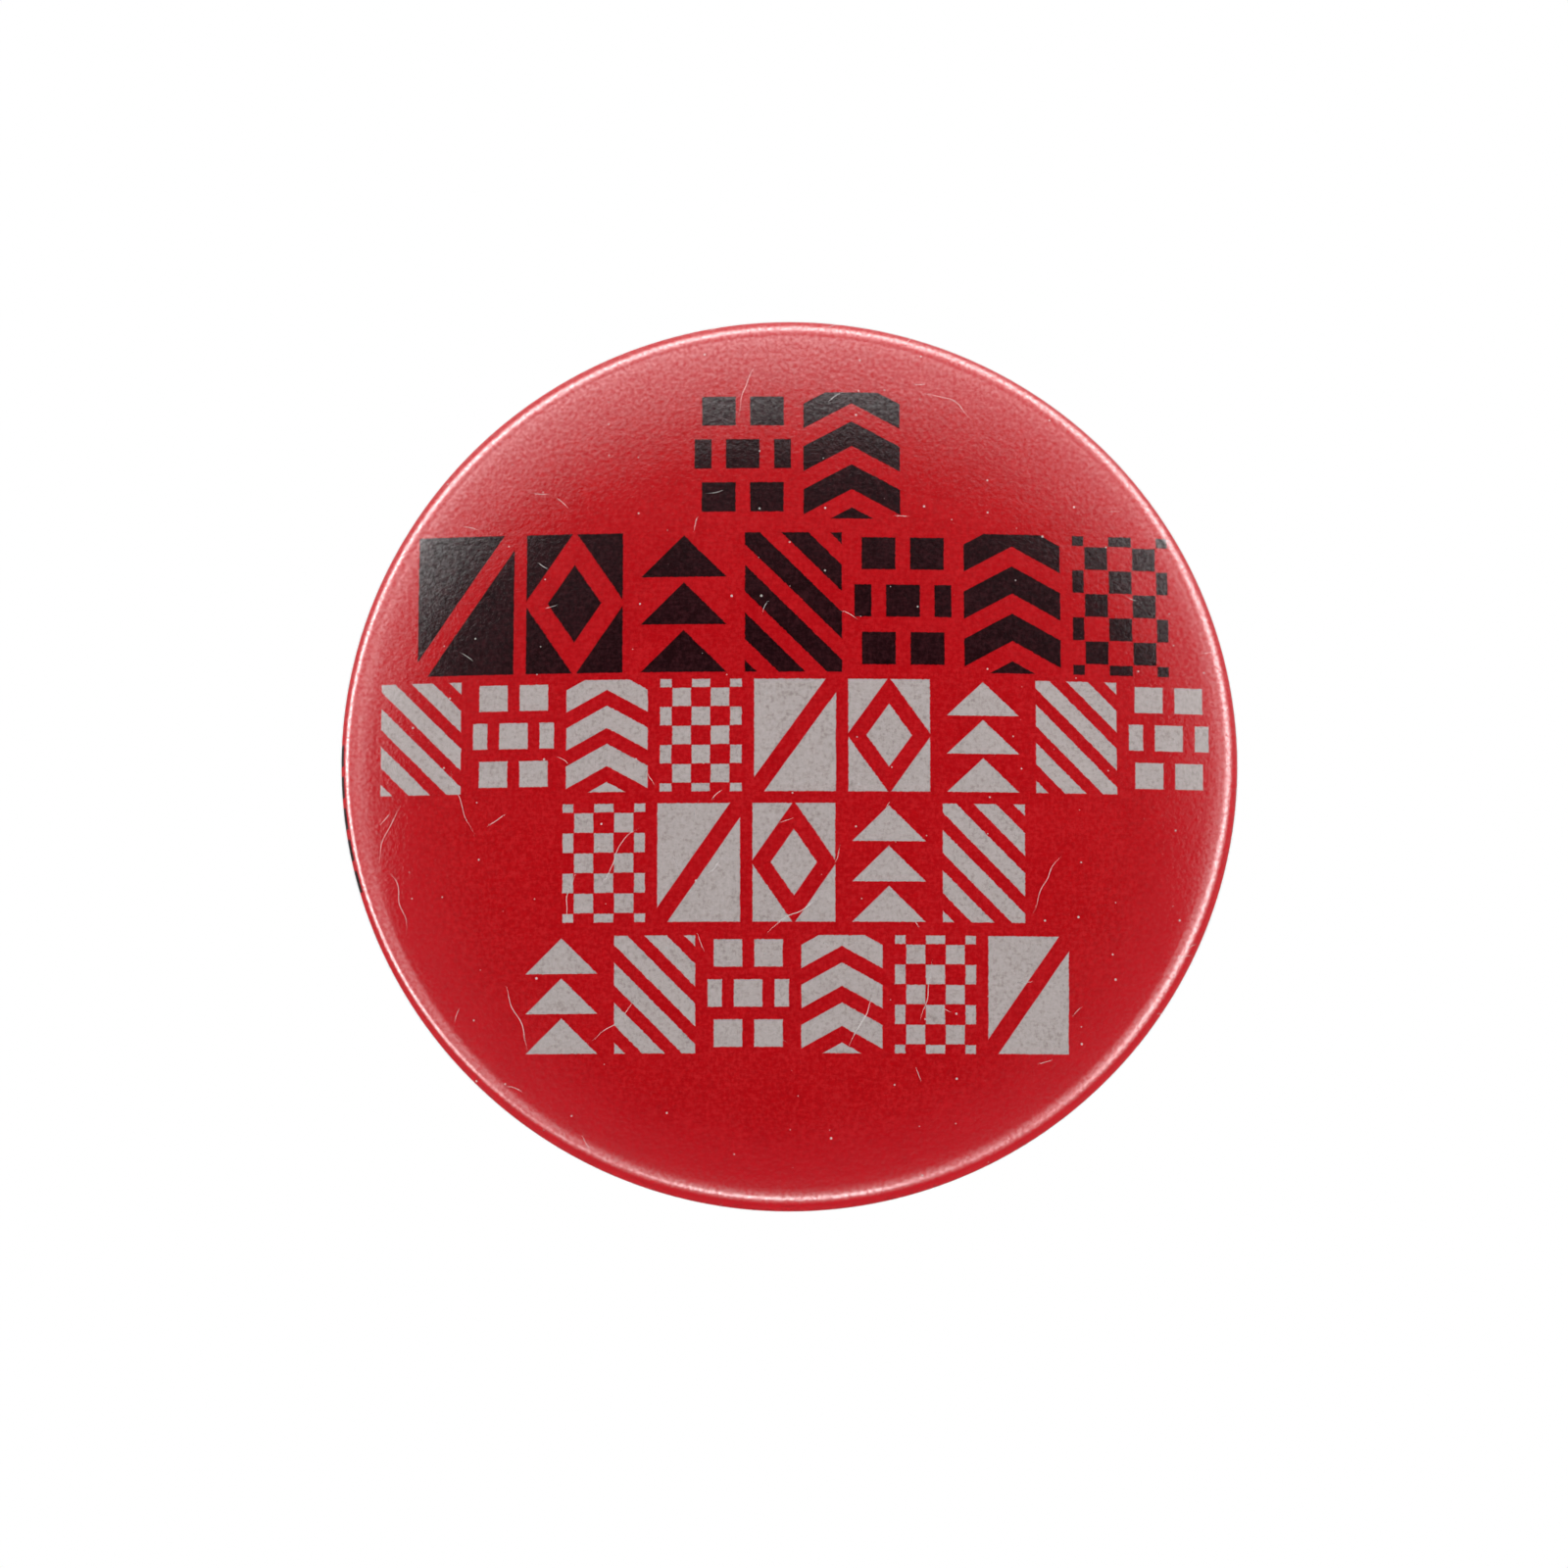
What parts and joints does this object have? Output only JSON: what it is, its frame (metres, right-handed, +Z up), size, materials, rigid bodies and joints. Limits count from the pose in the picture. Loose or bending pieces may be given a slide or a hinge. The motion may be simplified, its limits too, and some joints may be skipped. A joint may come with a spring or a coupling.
{
  "type": "button badge",
  "caption": "Round domed tinplate button badge with a printed face under clear film and a riveted brooch pin with a turning safety catch on its recessed back.",
  "frame": {"origin": "on the badge's axis, in the plane of the back plate's rear flange face, which lies against the cloth", "axes": "+Z up as worn, -Y the way the printed face looks, +Y out of the back, +X to the right seen from the front"},
  "size_m": [0.0572, 0.0073, 0.0572],
  "materials": {
    "film": "clear gloss polyester",
    "print": "red printed paper",
    "shell": "tinplate",
    "plate": "tinplate",
    "bar": "nickel-plated steel",
    "rivet": "plated steel",
    "needle": "bright steel wire",
    "catch": "nickel-plated steel"
  },
  "bodies": {
    "badge": {"clear_film": "film", "printed_paper": "print", "front_shell": "shell", "back_plate": "plate", "pin_bar": "bar", "bar_rivet_left": "rivet", "bar_rivet_right": "rivet", "hinge_rivet": "rivet"},
    "needle": {"needle": "needle"},
    "safety_catch": {"safety_catch": "catch"}
  },
  "joints": [
    {"name": "needle_swing", "type": "hinge", "parent": "badge", "child": "needle", "pos_m": [-0.0118, -0.0015, 0.005], "axis": [0, 0, 1], "range_deg": [0, 100]},
    {"name": "catch_turn", "type": "hinge", "parent": "badge", "child": "safety_catch", "pos_m": [0.0118, -0.0015, 0.005], "axis": [-1, 0, 0], "range_deg": [0, 130]}
  ]
}
